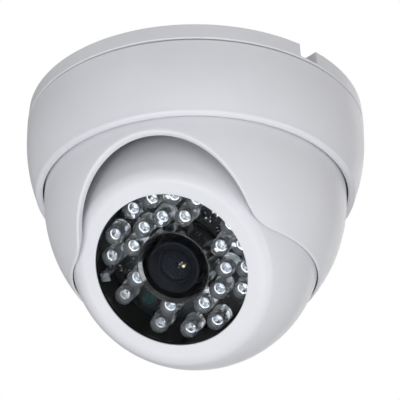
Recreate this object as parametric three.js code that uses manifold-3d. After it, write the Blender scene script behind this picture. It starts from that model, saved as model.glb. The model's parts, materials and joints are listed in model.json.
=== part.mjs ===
// Dome camera whose ball is aimed by hand, in millimetres, +Z up. The origin is the
// centre of the mounting face, and the camera hangs below it. What sits in the ball is
// drawn in the ball's own frame: origin at the ball's centre, +Z out along the line of
// sight, +Y up and +X to the right as the lens is faced.

import * as THREE from 'three';
import { mergeVertices } from 'three/addons/utils/BufferGeometryUtils.js';
import Module from 'manifold-3d';

const wasm = await Module();
wasm.setup();

// ---- clearances -------------------------------------------------------------------

const restGap = 0.3;            // between pieces that rest on each other
const turnGap = 0.35;           // between the ball and what it turns in
const boreGap = 0.3;            // round a screw, in the hole it passes or bites
const slideGap = 0.4;           // beside lugs and flanges that slide in a groove
const past = 1;                 // how far a cutter reaches beyond the piece it cuts
const rootDepth = 0.5;          // how far a lug or boss is sunk into what carries it
const headRoom = 0.7;           // round a screw's head in its well
const socketRoom = 0.6;         // round a socket in the opening it looks through

// ---- driving dimensions -----------------------------------------------------------

const plateThickness = 3;
const baseHeight = 4.9;         // ceiling to the seam
const baseDraft = 0.4;          // the rim is this much smaller at the ceiling
const rimWall = 2.1;            // base rim and cover wall
const edgeRound = 0.8;          // rounded lower edge of the base's rim
const skirtWall = 1.8;          // the ring on the base that carries the bayonet
const skirtDepth = 13;          // ceiling to the foot of the skirt
const skirtRoom = 1;            // the skirt stands this far outside the cover's bore

const coverHeight = 21;         // seam to the lowest point of the lip
const coverGap = 0.5;           // between the cover's bore and the dome
const coverLipRadius = 1.5;     // rounded lip round the bore
const coverBulge = 46;          // radius of the cover's slightly rounded side
const coverStraight = 4;        // plain stretch under the seam
const seamEase = 0.3;           // broken edge at the seam
const sideStep = 5;             // degrees between the points of the bulge

const lugs = 3;                 // bayonet
const lugAngle = 22;            // degrees
const lugReach = 1.4;
const lugHeight = 2;
const lugDrop = 1;              // from the seam to the cover's own lugs
const twistAngle = 25;          // degrees that free the cover
const stopAngle = 2.5;          // the rib that stops a lug
const stopRoom = 0.5;           // degrees from the lug to its stop

const slots = 3;                // for the ceiling screws
const slotCircle = 34;
const slotWidth = 3.8;
const slotSpread = 12;          // degrees
const slotTurn = 30;            // degrees from the lugs to the slots
const headWidth = 7.6;          // shallow seat for the screw's head
const headDepth = 1;

const cableHoleRadius = 7;
const cableHoleX = 5;
const cableHoleY = 22;
const cableBore = 3.6;          // radius
const grommetLip = 1.6;         // how far its flanges cover the plate
const grommetFlange = 0.8;
const grommetEase = 0.6;
const grommetSink = 0.1;        // below the ceiling face
const notchAzimuth = 40.5;      // the way out for a lead along the ceiling
const notchWidth = 6;
const notchDepth = 4.2;
const notchLength = 10;

const ballRadius = 34.6;
const ballWall = 2;
const ballHeadroom = 3;         // base plate to the top of the ball
const lookAzimuth = -25.3;      // degrees round from -Y, clockwise seen from above
const lookElevation = -46.4;    // degrees above the horizontal
const splitForward = 2;         // where the ball's halves meet, ahead of its centre

const domeRise = 13.3;          // dome's centre above the ball's
const domeWall = 2.1;
const rimDrop = 11;             // dome's rim below the ball's centre
const rimThickness = 0.6;
const flangeThickness = 2;
const slotAzimuth = -18.7;      // the arched opening that the ball looks out of
const archRadius = 24.3;
const archRise = 22;            // crown of the arch above the rim
const archFlare = 4.5;          // rounded corners where the arch meets the rim

const retainerThickness = 2;
const retainerWidth = 12;
const retainerDepth = 17;       // ceiling to its underside
const retainerLip = 1.4;        // wall of the lip that centres the friction ring
const retainerLipDepth = 2.5;
const frictionHeight = 4.2;
const frictionInset = 6.9;      // from the dome's inner face
const frictionGap = 120;        // degrees left open for the camera's lead
const leadWay = 70;             // the same way through the retainer, in degrees
const bossRadius = 2.2;
const bossHeight = 6;

const screwRadius = 1;
const screwHeadRadius = 1.9;
const screwHeadHeight = 1.3;
const screwBite = 5.5;          // length of thread in the boss
const screwCrown = 0.7;         // flat on top of the head, as a share of its radius
const driveWidth = 0.6;         // the crossed recess
const driveLength = 2.4;
const driveDepth = 0.65;

const lensHeadRadius = 7.2;
const lensHeadLength = 6;
const lensThreadRadius = 6;
const lensThreadLength = 9;
const lensSetback = 0.6;        // lens front behind the window's inner face
const glassRadius = 4.6;
const sleeveWall = 1.2;
const sleeveRoom = 1.7;         // round the lens head
const holderWall = 1.4;
const holderHeight = 11.5;
const holderBase = 17;          // square
const holderBaseHeight = 3.5;
const holderChamber = 2.2;      // height of the room over the image sensor
const barrelEase = 0.4;
const mouthDepth = 1.6;         // cone in front of the glass
const glassPocket = 1.2;
const glassEdge = 0.8;          // thickness of the glass at its rim
const glassCurve = 2.2;         // its front face's radius, in glass radii

const ledRadius = 2.5;
const ledFlange = 0.2;          // how far the foot stands out of the body
const ledFlangeHeight = 1;
const ledLength = 8.6;
const ledSetback = 1.9;         // lamp tips behind the window's inner face
const ledGap = 0.3;             // between the feet of one ring and those of the next
const rowGap = 0.9;             // between the feet of neighbours in a row
const outerRows = [[152.5, 2], [85, 4], [-7.5, 4], [-74, 1], [-99, 1], [-125, 1], [-163, 1]];
const innerRows = [[105.5, 4], [-34.5, 4], [-120, 1], [-172, 1]];
const photocellAngle = -145;
const photocellRadius = 2.5;
const photocellHeight = 2.2;

const bezelWidth = 5.3;
const bezelLip = 0.5;           // thickness over the edge of the window
const creaseEase = 0.6;         // broken edge between the bezel and the sphere
const windowHidden = 0.1;       // lamps' outer edge tucked behind the lip
const windowThickness = 1;
const gasketThickness = 0.5;
const boardThickness = 1.2;
const carrierWall = 1.5;
const carrierStep = 1.6;        // flange at its back
const carrierEar = 3.2;
const postLength = 5.3;         // carrier to sensor board
const postRadius = 2.2;
const postInset = 2;            // from the sensor board's edges
const sensorBoardSide = 38;
const sensorSide = 10;
const sensorHeight = 1.2;
const sensorRoom = 0.8;         // round the image sensor inside the lens holder
const chipSide = 12;
const chipHeight = 1.2;
const socketSize = [7, 4.5, 2.8];        // of the sockets that the lamp lead joins
const lampSocketGap = 2.5;               // from the sleeve
const boardSocketGap = 1.9;              // from the lens holder
const boardSocketY = 8;
const outputSocketSize = [11, 5.5, 5];
const outputSocketPlace = [7.5, -13.75];
const leadRadius = 0.9;
const leadStub = 2;             // straight stretch at each end
const leadBow = 4;              // how far it bows past the sockets
const leadSteps = 12;

const bushBore = 3.2;
const bushWall = 1.8;
const bushFlange = 3;
const bushFlangeHeight = 1.5;
const bushDepth = 3;            // floor of its recess below the ball's surface
const bushSeat = 2.4;           // thickness of the seat it turns in
const bushSeatWidth = 6;
const bushEase = 0.8;
const bushCatch = 1.4;          // barb that snaps past the seat
const bushCatchHeight = 0.5;
const bossInset = 1;            // shell bosses, in from the ball's inner face
const shellBossHeight = 10;
const wellSeat = 3.2;           // plastic under a shell screw's head
const wellWall = 1.2;

const roundSides = 40;          // sides of the large round pieces
const middleSides = 24;
const smallSides = 12;
const screwSides = 8;
const ledSides = 8;
const sphereStep = 9;           // degrees between the points of a sphere's outline
const insideStep = 18;          // the same inside a wall, where nothing turns
const edgeStep = 30;            // and of a rounded edge's
const archSteps = 14;           // straight runs in each curve of the arch

// ---- worked out from them ---------------------------------------------------------

const ballTop = -(plateThickness + ballHeadroom);
const ballZ = ballTop - ballRadius;
const domeZ = ballZ + domeRise;
const rimZ = ballZ - rimDrop;
const socketRadius = ballRadius + turnGap;
const rimRadius = Math.sqrt(socketRadius ** 2 - rimDrop ** 2);
const domeRadius = Math.hypot(rimRadius + rimThickness, rimDrop + domeRise);
const domeInner = domeRadius - domeWall;

const coverBore = domeRadius + coverGap;
const skirtRadius = coverBore + skirtRoom;
const wallInner = skirtRadius + lugReach + slideGap;
const seamRadius = wallInner + rimWall;
const seamZ = -baseHeight - restGap;
const coverFoot = seamZ - coverHeight;
const flangeTop = -skirtDepth - restGap;
const ledgeZ = flangeTop - flangeThickness - restGap;
const coverLugTop = seamZ - lugDrop;
const baseLugTop = coverLugTop - lugHeight - slideGap;

const sleeveInner = lensHeadRadius + sleeveRoom;
const sleeveOuter = sleeveInner + sleeveWall;
const footRadius = ledRadius + ledFlange;
const innerRing = sleeveOuter + ledGap + footRadius;
const outerRing = innerRing + 2 * footRadius + ledGap;
const windowOpening = outerRing + ledRadius - windowHidden;
const carrierInner = outerRing + footRadius + ledGap;
const carrierOuter = carrierInner + carrierWall;
const windowRadius = carrierOuter;
const creaseRadius = windowOpening + bezelWidth;
const ballInner = ballRadius - ballWall;

const frontZ = Math.sqrt(ballRadius ** 2 - creaseRadius ** 2);
const seatZ = frontZ - bezelLip;
const windowTop = seatZ - restGap;
const windowBack = windowTop - windowThickness;
const gasketTop = windowBack - restGap;
const carrierRim = gasketTop - gasketThickness - restGap;
const sleeveRim = windowBack - restGap;
const ledBase = windowBack - ledSetback - ledLength;
const lampBoardTop = ledBase - restGap;
const lampBoardBack = lampBoardTop - boardThickness;
const carrierTop = lampBoardBack - restGap;
const carrierBack = carrierTop - carrierWall;
const sensorBoardTop = carrierBack - postLength - restGap;
const sensorBoardBack = sensorBoardTop - boardThickness;
const onSensorBoard = sensorBoardTop + restGap;
const lensFront = windowBack - lensSetback;
const lensShoulder = lensFront - lensHeadLength;
const postPlace = sensorBoardSide / 2 - postInset;

const carrierScrewCircle = carrierOuter + bossRadius + restGap;
const shellScrewCircle = ballInner - bossRadius - bossInset;
const carrierEarAngles = [30, 150, 270];
const shellScrewAngles = [90, 210, 330];
const boardScrewAngles = [45, 225];

// ---- helpers ----------------------------------------------------------------------

const toRadians = THREE.MathUtils.degToRad;

// Points on an arc of a profile, from one angle to another in degrees.
function arc(centreR, centreZ, radius, from, to, step = sphereStep) {
  const steps = Math.max(2, Math.ceil(Math.abs(to - from) / step));
  const points = [];
  for (let i = 0; i <= steps; i += 1) {
    const angle = toRadians(from + ((to - from) * i) / steps);
    points.push([centreR + radius * Math.cos(angle), centreZ + radius * Math.sin(angle)]);
  }
  return points;
}

// Angle, in degrees, of the height z on a circle that is centred on the axis.
function heightAngle(radius, z) {
  return THREE.MathUtils.radToDeg(Math.asin(z / radius));
}

// A closed solid from a geometry: vertices merged, squeezed triangles dropped, and the
// faces turned outwards if the geometry was wound inwards.
function solid(geometry) {
  const bare = geometry.clone();
  bare.deleteAttribute('normal');
  bare.deleteAttribute('uv');
  const merged = mergeVertices(bare, 1e-4);
  const place = merged.getAttribute('position').array;
  const corners = merged.index.array;
  const triangles = [];
  let volume = 0;
  for (let i = 0; i < corners.length; i += 3) {
    const [a, b, c] = [corners[i], corners[i + 1], corners[i + 2]];
    if (a !== b && b !== c && c !== a) {
      triangles.push([a, b, c]);
      const first = new THREE.Vector3().fromArray(place, 3 * a);
      const second = new THREE.Vector3().fromArray(place, 3 * b);
      const third = new THREE.Vector3().fromArray(place, 3 * c);
      volume += first.dot(second.cross(third));
    }
  }
  const outward = volume < 0 ? triangles.map(([a, b, c]) => [a, c, b]) : triangles;
  return new wasm.Manifold(new wasm.Mesh({
    numProp: 3,
    vertProperties: new Float32Array(place),
    triVerts: new Uint32Array(outward.flat()),
  }));
}

// A solid of revolution about Z from a closed profile of [radius, z] points.
function turned(profile, sides = roundSides) {
  const points = profile.map(([r, z]) => new THREE.Vector2(Math.max(r, 0), z));
  points.push(points[0].clone());
  return solid(new THREE.LatheGeometry(points, sides).rotateX(Math.PI / 2));
}

// A round rod along Z.
function rod(radius, low, high, x = 0, y = 0, sides = smallSides) {
  const bar = new THREE.CylinderGeometry(radius, radius, high - low, sides);
  return solid(bar.rotateX(Math.PI / 2).translate(x, y, (low + high) / 2));
}

// A block between two corners.
function block(low, high) {
  const size = high.map((value, i) => value - low[i]);
  const middle = high.map((value, i) => (value + low[i]) / 2);
  return solid(new THREE.BoxGeometry(...size).translate(...middle));
}

// A ring of rectangular section.
function ring(inner, outer, low, high, sides = roundSides) {
  return turned([[inner, low], [outer, low], [outer, high], [inner, high]], sides);
}

// A sector of a ring, centred on an angle in degrees measured from +X.
function sector(inner, outer, low, high, centre, spread) {
  const start = toRadians(centre - spread / 2);
  const end = toRadians(centre + spread / 2);
  const shape = new THREE.Shape();
  shape.absarc(0, 0, outer, start, end, false);
  shape.absarc(0, 0, inner, end, start, true);
  const steps = Math.max(3, Math.ceil(spread / sphereStep));
  const bar = new THREE.ExtrudeGeometry(shape, {
    depth: high - low, bevelEnabled: false, curveSegments: steps,
  });
  return solid(bar.translate(0, 0, low));
}

// A point on a circle, at an angle in degrees from +X.
function onCircle(radius, angle) {
  return [radius * Math.cos(toRadians(angle)), radius * Math.sin(toRadians(angle))];
}

// The angle from +X of a compass direction given as degrees round from -Y.
function fromFront(azimuth) {
  return azimuth - 90;
}

function joined(pieces) {
  return pieces.reduce((whole, piece) => whole.add(piece));
}

function cutBy(whole, cutters) {
  return cutters.reduce((rest, cutter) => rest.subtract(cutter), whole);
}

function repeat(count, make) {
  return Array.from({ length: count }, (_, i) => make(i));
}

// A pan-head screw whose head's underside is at z, with its shank towards +Z.
function screw(x, y, z, length) {
  const head = turned([
    [0, z - screwHeadHeight],
    [screwHeadRadius * screwCrown, z - screwHeadHeight],
    [screwHeadRadius, z - screwHeadHeight / 2],
    [screwHeadRadius, z],
    [screwRadius, z],
    [screwRadius, z + length],
    [0, z + length],
  ], screwSides);
  const drive = block(
    [-driveWidth / 2, -driveLength / 2, z - screwHeadHeight - past],
    [driveWidth / 2, driveLength / 2, z - screwHeadHeight + driveDepth],
  );
  return cutBy(head, [drive, drive.rotate([0, 0, 90])]).translate([x, y, 0]);
}

// ---- materials --------------------------------------------------------------------

function finish(color, roughness, metalness = 0) {
  return new THREE.MeshStandardMaterial({ color, roughness, metalness });
}

const whitePlastic = finish(0xe9eaee, 0.35);
const greyRubber = finish(0x6d6f73, 0.8);
const blackRubber = finish(0x17181b, 0.7);
const blackPlastic = finish(0x131417, 0.45);
const blackMask = finish(0x14181a, 0.4);
const greenMask = finish(0x1f5b3a, 0.4);
const clearEpoxy = finish(0xe6ecf2, 0.1);
const clearWindow = finish(0xdfe6ea, 0.05);
const lensCoating = finish(0x2a2140, 0.05);
const anodised = finish(0x202228, 0.35, 0.6);
const steel = finish(0xb9bcc0, 0.3, 1);
const acetal = finish(0xd8d8d2, 0.5);
const ceramic = finish(0x1f5a52, 0.6);
const silicon = finish(0x22262c, 0.25);
const socketPlastic = finish(0xeae6d6, 0.5);

// ---- base -------------------------------------------------------------------------

// Rim, plate and skirt in one moulding, with the bayonet's lugs and their stops.
function basePlate() {
  const skirtInner = skirtRadius - skirtWall;
  const body = turned([
    [0, 0],
    [seamRadius - baseDraft, 0],
    ...arc(seamRadius - edgeRound, -baseHeight + edgeRound, edgeRound, 0, -90, edgeStep),
    [seamRadius - rimWall, -baseHeight],
    [seamRadius - rimWall, -plateThickness],
    [skirtRadius, -plateThickness],
    [skirtRadius, -skirtDepth],
    [skirtInner, -skirtDepth],
    [skirtInner, -plateThickness],
    [0, -plateThickness],
  ]);
  const bayonet = repeat(lugs, (i) => {
    const middle = (360 / lugs) * i;
    const reach = skirtRadius + lugReach;
    const stopMiddle = middle + (lugAngle + stopAngle) / 2 + stopRoom;
    const root = skirtRadius - rootDepth;
    const foot = baseLugTop - lugHeight;
    const lug = sector(root, reach, foot, baseLugTop, middle, lugAngle);
    const stop = sector(root, reach, foot, -plateThickness - rootDepth, stopMiddle, stopAngle);
    return lug.add(stop);
  });
  const screwSlots = repeat(slots, (i) => {
    const middle = (360 / slots) * i + slotTurn;
    return curvedSlot(slotWidth, -plateThickness - past, past, middle)
      .add(curvedSlot(headWidth, -plateThickness - past, headDepth - plateThickness, middle));
  });
  const cableHole = rod(
    cableHoleRadius, -plateThickness - past, past, cableHoleX, cableHoleY, middleSides,
  ).add(rod(
    cableHoleRadius + grommetLip + boreGap, -grommetFlange - restGap - grommetSink, past,
    cableHoleX, cableHoleY, middleSides,
  ));
  const notch = block(
    [seamRadius - notchLength, -notchWidth / 2, -notchDepth],
    [seamRadius + past, notchWidth / 2, past],
  ).rotate([0, 0, fromFront(notchAzimuth)]);
  return cutBy(joined([body, ...bayonet]), [...screwSlots, cableHole, notch]);
}

// A slot bent round the mounting circle, with round ends.
function curvedSlot(width, low, high, middle) {
  const ends = [-1, 1].map((side) => {
    const [x, y] = onCircle(slotCircle, middle + (side * slotSpread) / 2);
    return rod(width / 2, low, high, x, y);
  });
  const run = sector(
    slotCircle - width / 2, slotCircle + width / 2, low, high, middle, slotSpread,
  );
  return joined([run, ...ends]);
}

function cableGrommet() {
  const neck = cableHoleRadius - boreGap;
  const flange = cableHoleRadius + grommetLip;
  const top = -grommetSink;
  const foot = -plateThickness - restGap;
  return turned([
    [cableBore, top],
    [flange, top],
    [flange, top - grommetFlange],
    [neck, top - grommetFlange],
    [neck, foot],
    [flange, foot],
    [flange - grommetEase, foot - grommetFlange],
    [cableBore, foot - grommetFlange],
  ], middleSides).translate([cableHoleX, cableHoleY, 0]);
}

// ---- cover ------------------------------------------------------------------------

// The outer ring, which twists onto the base's lugs and holds the dome's flange up.
function coverRing() {
  const bulgeTop = seamZ - coverStraight;
  const lipZ = coverFoot + coverLipRadius;
  const bulgeAngle = -heightAngle(coverBulge, bulgeTop - lipZ);
  const side = arc(seamRadius - coverBulge, bulgeTop, coverBulge, 0, bulgeAngle, sideStep);
  const lipR = side[side.length - 1][0] - coverLipRadius;
  const insideAngle = -180 + THREE.MathUtils.radToDeg(Math.acos((lipR - coverBore) / coverLipRadius));
  const body = turned([
    [wallInner, seamZ],
    [seamRadius - seamEase, seamZ],
    [seamRadius, seamZ - seamEase],
    ...side,
    ...arc(lipR, lipZ, coverLipRadius, 0, insideAngle, edgeStep).slice(1),
    [coverBore, ledgeZ],
    [wallInner, ledgeZ],
  ]);
  const bayonet = repeat(lugs, (i) => sector(
    skirtRadius + slideGap, wallInner + rootDepth, coverLugTop - lugHeight, coverLugTop,
    (360 / lugs) * i, lugAngle,
  ));
  return joined([body, ...bayonet]);
}

// ---- dome -------------------------------------------------------------------------

// The turning shell: a flange under the cover, a straight neck, then a sphere that
// closes below the ball's equator and so carries the ball.
function domeShell() {
  const socketMeetsWall = socketMeeting();
  const body = turned([
    [domeInner, flangeTop],
    [wallInner - slideGap, flangeTop],
    [wallInner - slideGap, flangeTop - flangeThickness],
    [domeRadius, flangeTop - flangeThickness],
    ...arc(0, domeZ, domeRadius, 0, heightAngle(domeRadius, rimZ - domeZ)),
    ...arc(
      0, ballZ, socketRadius, heightAngle(socketRadius, -rimDrop),
      heightAngle(socketRadius, socketMeetsWall - ballZ),
    ),
    ...arc(
      0, domeZ, domeInner, heightAngle(domeInner, socketMeetsWall - domeZ), 0, insideStep,
    ).slice(1),
  ]);
  const bosses = retainerScrews().map(([x, y]) => (
    rod(bossRadius, bossFoot() - bossHeight, bossFoot(), x, y)
      .intersect(ring(socketRadius, domeInner + rootDepth, bossFoot() - bossHeight, bossFoot()))
  ));
  const pilots = retainerScrews().map(([x, y]) => (
    rod(screwRadius + boreGap, bossFoot() - screwBite - restGap, bossFoot() + past, x, y)
  ));
  return cutBy(joined([body, ...bosses]), [archCutter(), ...pilots]);
}

// Height at which the ball's socket runs out into the dome's inner face.
function socketMeeting() {
  const squares = socketRadius ** 2 - ballZ ** 2 - (domeInner ** 2 - domeZ ** 2);
  return squares / (2 * (domeZ - ballZ));
}

function bossFoot() {
  return -retainerDepth - restGap;
}

function retainerScrews() {
  const circle = domeInner - bossRadius;
  return repeat(3, (i) => onCircle(circle, fromFront(slotAzimuth) + 60 + 120 * i));
}

// The opening: an arch whose feet flare out into the dome's rim.
function archCutter() {
  const crown = rimZ + archRise;
  const archZ = crown - archRadius;
  const flareZ = rimZ + archFlare;
  const flareX = Math.sqrt((archRadius + archFlare) ** 2 - (flareZ - archZ) ** 2);
  const meet = Math.atan2(flareZ - archZ, flareX);
  const below = rimZ - past;
  const shape = new THREE.Shape();
  shape.moveTo(-flareX, below);
  shape.lineTo(-flareX, rimZ);
  shape.absarc(-flareX, flareZ, archFlare, -Math.PI / 2, -meet, false);
  shape.absarc(0, archZ, archRadius, Math.PI - meet, meet, true);
  shape.absarc(flareX, flareZ, archFlare, Math.PI + meet, 1.5 * Math.PI, false);
  shape.lineTo(flareX, below);
  const cutter = new THREE.ExtrudeGeometry(shape, {
    depth: domeRadius + past, bevelEnabled: false, curveSegments: archSteps,
  });
  return solid(cutter.rotateX(Math.PI / 2)).rotate([0, 0, slotAzimuth]);
}

// Ring screwed into the dome over the ball, with a lip that centres the friction ring
// and a way out at the back for the camera's lead.
function retainerRing() {
  const top = -retainerDepth + retainerThickness;
  const outer = domeInner - slideGap;
  const lipInner = frictionOuter() + slideGap;
  const body = ring(outer - retainerWidth, outer, -retainerDepth, top)
    .add(ring(
      lipInner, lipInner + retainerLip, -retainerDepth - retainerLipDepth, -retainerDepth + rootDepth,
    ));
  const way = sector(
    outer - retainerWidth - past, lipInner + retainerLip + restGap,
    -retainerDepth - retainerLipDepth - past, top + past,
    fromFront(slotAzimuth) + 180, leadWay,
  );
  const holes = retainerScrews().map(([x, y]) => (
    rod(screwRadius + boreGap, -retainerDepth - past, top + past, x, y)
  ));
  return cutBy(body, [way, ...holes]);
}

function frictionOuter() {
  return domeInner - frictionInset;
}

// Rubber ring, open at the back, that presses on the ball and holds its aim.
function frictionRing() {
  const top = -retainerDepth - restGap - ballZ;
  const foot = top - frictionHeight;
  const body = turned([
    ...arc(0, 0, socketRadius, heightAngle(socketRadius, top), heightAngle(socketRadius, foot)),
    [frictionOuter(), foot],
    [frictionOuter(), top],
  ]).translate([0, 0, ballZ]);
  const open = sector(
    1, domeRadius, foot + ballZ - past, top + ballZ + past, fromFront(slotAzimuth) + 180, frictionGap,
  );
  return body.subtract(open);
}

// ---- ball, in its own frame -------------------------------------------------------

function ballFront() {
  const outer = arc(
    0, 0, ballRadius, heightAngle(ballRadius, splitForward),
    heightAngle(ballRadius, frontZ - creaseEase),
  );
  const innerFront = frontZ - ballWall;
  const inner = arc(
    0, 0, ballInner, heightAngle(ballInner, innerFront), heightAngle(ballInner, splitForward),
    insideStep,
  );
  const body = turned([
    ...outer,
    [creaseRadius - creaseEase, frontZ],
    [windowOpening, frontZ],
    [windowOpening, seatZ],
    [windowRadius + restGap, seatZ],
    [windowRadius + restGap, innerFront],
    ...inner,
  ]);
  const ball = turned([...outer, [0, frontZ - creaseEase], [0, splitForward]]);
  const carrierBosses = carrierEarAngles.map((angle) => {
    const [x, y] = onCircle(carrierScrewCircle, angle);
    return cutBy(
      rod(bossRadius, carrierTop + restGap, innerFront + rootDepth, x, y).intersect(ball),
      [rod(screwRadius + boreGap, carrierTop - past, carrierTop + screwBite, x, y)],
    );
  });
  const shellBosses = shellScrewAngles.map((angle) => {
    const [x, y] = onCircle(shellScrewCircle, angle);
    return cutBy(
      rod(bossRadius, splitForward, splitForward + shellBossHeight, x, y).intersect(ball),
      [rod(screwRadius + boreGap, splitForward - past, splitForward + screwBite + past, x, y)],
    );
  });
  return joined([body, ...carrierBosses, ...shellBosses]);
}

function ballRear() {
  const edge = splitForward - restGap;
  const wellFloor = edge - wellSeat;
  const body = turned([
    ...arc(0, 0, ballRadius, -90, heightAngle(ballRadius, edge)),
    ...arc(0, 0, ballInner, heightAngle(ballInner, edge), -90, insideStep),
  ]);
  const ball = turned(arc(0, 0, ballRadius, -90, heightAngle(ballRadius, edge)).concat([[0, edge]]));
  const wells = shellScrewAngles.map((angle) => {
    const [x, y] = onCircle(shellScrewCircle, angle);
    return rod(screwHeadRadius + headRoom + wellWall, -ballRadius, edge, x, y).intersect(ball);
  });
  const seat = rod(
    bushNeck() + bushSeatWidth, bushFloor(), bushFloor() + bushSeat, 0, 0, middleSides,
  );
  const cutters = shellScrewAngles.flatMap((angle) => {
    const [x, y] = onCircle(shellScrewCircle, angle);
    return [
      rod(screwHeadRadius + headRoom, -ballRadius - past, wellFloor, x, y),
      rod(screwRadius + boreGap, wellFloor - past, edge + past, x, y),
    ];
  });
  return cutBy(joined([body, seat, ...wells]), [
    ...cutters,
    rod(bushNeck() + bushFlange + restGap, -ballRadius - past, bushFloor(), 0, 0, middleSides),
    rod(bushNeck() + restGap, bushFloor() - past, bushFloor() + bushSeat + past, 0, 0, middleSides),
  ]);
}

function bushNeck() {
  return bushBore + bushWall;
}

function bushFloor() {
  return -ballRadius + bushDepth;
}

// Swivel bush in the ball's rear pole: the lead passes through it, and the ball rolls
// about it.
function swivelBush() {
  const neck = bushNeck();
  const low = bushFloor() - restGap;
  const high = bushFloor() + bushSeat + restGap;
  return turned([
    [bushBore, low - bushFlangeHeight],
    [neck + bushFlange - bushEase, low - bushFlangeHeight],
    [neck + bushFlange, low - bushFlangeHeight + bushEase],
    [neck + bushFlange, low],
    [neck, low],
    [neck, high],
    [neck + bushCatch, high],
    [neck + bushCatch, high + bushCatchHeight],
    [neck, high + bushFlangeHeight],
    [bushBore, high + bushFlangeHeight],
  ], smallSides);
}

function windowDisc() {
  return turned([[0, windowBack], [windowRadius, windowBack], [windowRadius, windowTop], [0, windowTop]]);
}

function windowGasket() {
  return ring(
    windowOpening + restGap, windowRadius, gasketTop - gasketThickness, gasketTop, middleSides,
  );
}

// Cup that presses on the window, holds the lamp board and carries the sensor board.
function lampCarrier() {
  const body = turned([
    [sleeveInner, carrierBack],
    [carrierOuter + carrierStep, carrierBack],
    [carrierOuter + carrierStep, carrierTop],
    [carrierOuter, carrierTop],
    [carrierOuter, carrierRim],
    [carrierInner, carrierRim],
    [carrierInner, carrierTop],
    [sleeveInner, carrierTop],
  ], middleSides);
  const ears = carrierEarAngles.map((angle) => {
    const [x, y] = onCircle(carrierScrewCircle, angle);
    return rod(carrierEar, carrierBack, carrierTop, x, y);
  });
  const posts = boardScrewPlaces().map(([x, y]) => (
    rod(postRadius, carrierBack - postLength, carrierBack + rootDepth, x, y)
  ));
  const holes = carrierEarAngles.map((angle) => {
    const [x, y] = onCircle(carrierScrewCircle, angle);
    return rod(screwRadius + boreGap, carrierBack - past, carrierTop + past, x, y);
  });
  const pilots = boardScrewPlaces().map(([x, y]) => (
    rod(screwRadius + boreGap, carrierBack - postLength - past, carrierBack - restGap, x, y)
  ));
  const [low, high] = lampSocketCorners();
  const socketWay = block(
    [low[0] - socketRoom, low[1] - socketRoom, carrierBack - past],
    [high[0] + socketRoom, high[1] + socketRoom, carrierTop + past],
  );
  return cutBy(joined([body, ...ears, ...posts]), [...holes, ...pilots, socketWay]);
}

function boardScrewPlaces() {
  return boardScrewAngles.map((angle) => onCircle(postPlace * Math.SQRT2, angle));
}

function lampBoard() {
  return ring(
    sleeveOuter + slideGap, carrierInner - 2 * restGap, lampBoardBack, lampBoardTop, middleSides,
  );
}

// Places of the lamps: rows packed side by side round two rings.
function lampPlaces() {
  const rings = [[outerRing, outerRows], [innerRing, innerRows]];
  return rings.flatMap(([radius, rows]) => {
    const half = Math.asin((footRadius + rowGap / 2) / radius);
    const pitch = 2 * THREE.MathUtils.radToDeg(half);
    return rows.flatMap(([centre, count]) => repeat(count, (i) => (
      onCircle(radius, centre + ((count - 1) / 2 - i) * pitch)
    )));
  });
}

function lamp([x, y]) {
  const round = arc(0, ledBase + ledLength - ledRadius, ledRadius, 0, 90, edgeStep);
  return turned([
    [0, ledBase],
    [footRadius, ledBase],
    [footRadius, ledBase + ledFlangeHeight],
    [ledRadius, ledBase + ledFlangeHeight],
    ...round,
  ], ledSides).translate([x, y, 0]);
}

function photocell() {
  const [x, y] = onCircle((innerRing + outerRing) / 2, photocellAngle);
  return rod(photocellRadius, ledBase, ledBase + photocellHeight, x, y);
}

function lensSleeve() {
  return ring(sleeveInner, sleeveOuter, lampBoardBack, sleeveRim, middleSides);
}

function lensHolder() {
  const inner = lensThreadRadius + boreGap;
  const half = holderBase / 2;
  const base = block([-half, -half, onSensorBoard], [half, half, onSensorBoard + holderBaseHeight]);
  const tube = rod(inner + holderWall, onSensorBoard, onSensorBoard + holderHeight, 0, 0, middleSides);
  const room = sensorSide / 2 + sensorRoom;
  const chamber = block(
    [-room, -room, onSensorBoard - past], [room, room, onSensorBoard + holderChamber],
  );
  return cutBy(base.add(tube), [chamber, rod(inner, onSensorBoard, lensFront, 0, 0, middleSides)]);
}

function lensBarrel() {
  const bottom = lensShoulder - lensThreadLength;
  const mouth = lensFront - mouthDepth;
  const seat = glassRadius + barrelEase;
  return turned([
    [0, bottom],
    [lensThreadRadius, bottom],
    [lensThreadRadius, lensShoulder],
    [lensHeadRadius, lensShoulder],
    [lensHeadRadius, lensFront - barrelEase],
    [lensHeadRadius - barrelEase, lensFront],
    [lensHeadRadius - 2 * barrelEase, lensFront],
    [seat, mouth],
    [seat, mouth - glassPocket],
    [0, mouth - glassPocket],
  ], middleSides);
}

function lensGlass() {
  const seat = lensFront - mouthDepth - glassPocket + restGap;
  const domeR = glassRadius * glassCurve;
  const edgeAngle = THREE.MathUtils.radToDeg(Math.acos(glassRadius / domeR));
  const lift = seat + glassEdge - domeR * Math.sin(toRadians(edgeAngle));
  return turned([
    [0, seat],
    [glassRadius, seat],
    ...arc(0, lift, domeR, edgeAngle, 90),
  ], middleSides);
}

function sensorBoard() {
  const half = sensorBoardSide / 2;
  const board = block([-half, -half, sensorBoardBack], [half, half, sensorBoardTop]);
  return cutBy(board, boardScrewPlaces().map(([x, y]) => (
    rod(screwRadius + boreGap, sensorBoardBack - past, sensorBoardTop + past, x, y)
  )));
}

function imageSensor() {
  const half = sensorSide / 2;
  return block([-half, -half, onSensorBoard], [half, half, onSensorBoard + sensorHeight]);
}

function processorChip() {
  const half = chipSide / 2;
  const top = sensorBoardBack - restGap;
  return block([-half, -half, top - chipHeight], [half, half, top]);
}

function lampSocketCorners() {
  const [length, width, height] = socketSize;
  const x = -sleeveOuter - lampSocketGap;
  return [
    [x - length, -width / 2, carrierBack - height],
    [x, width / 2, lampBoardBack - restGap],
  ];
}

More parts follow.
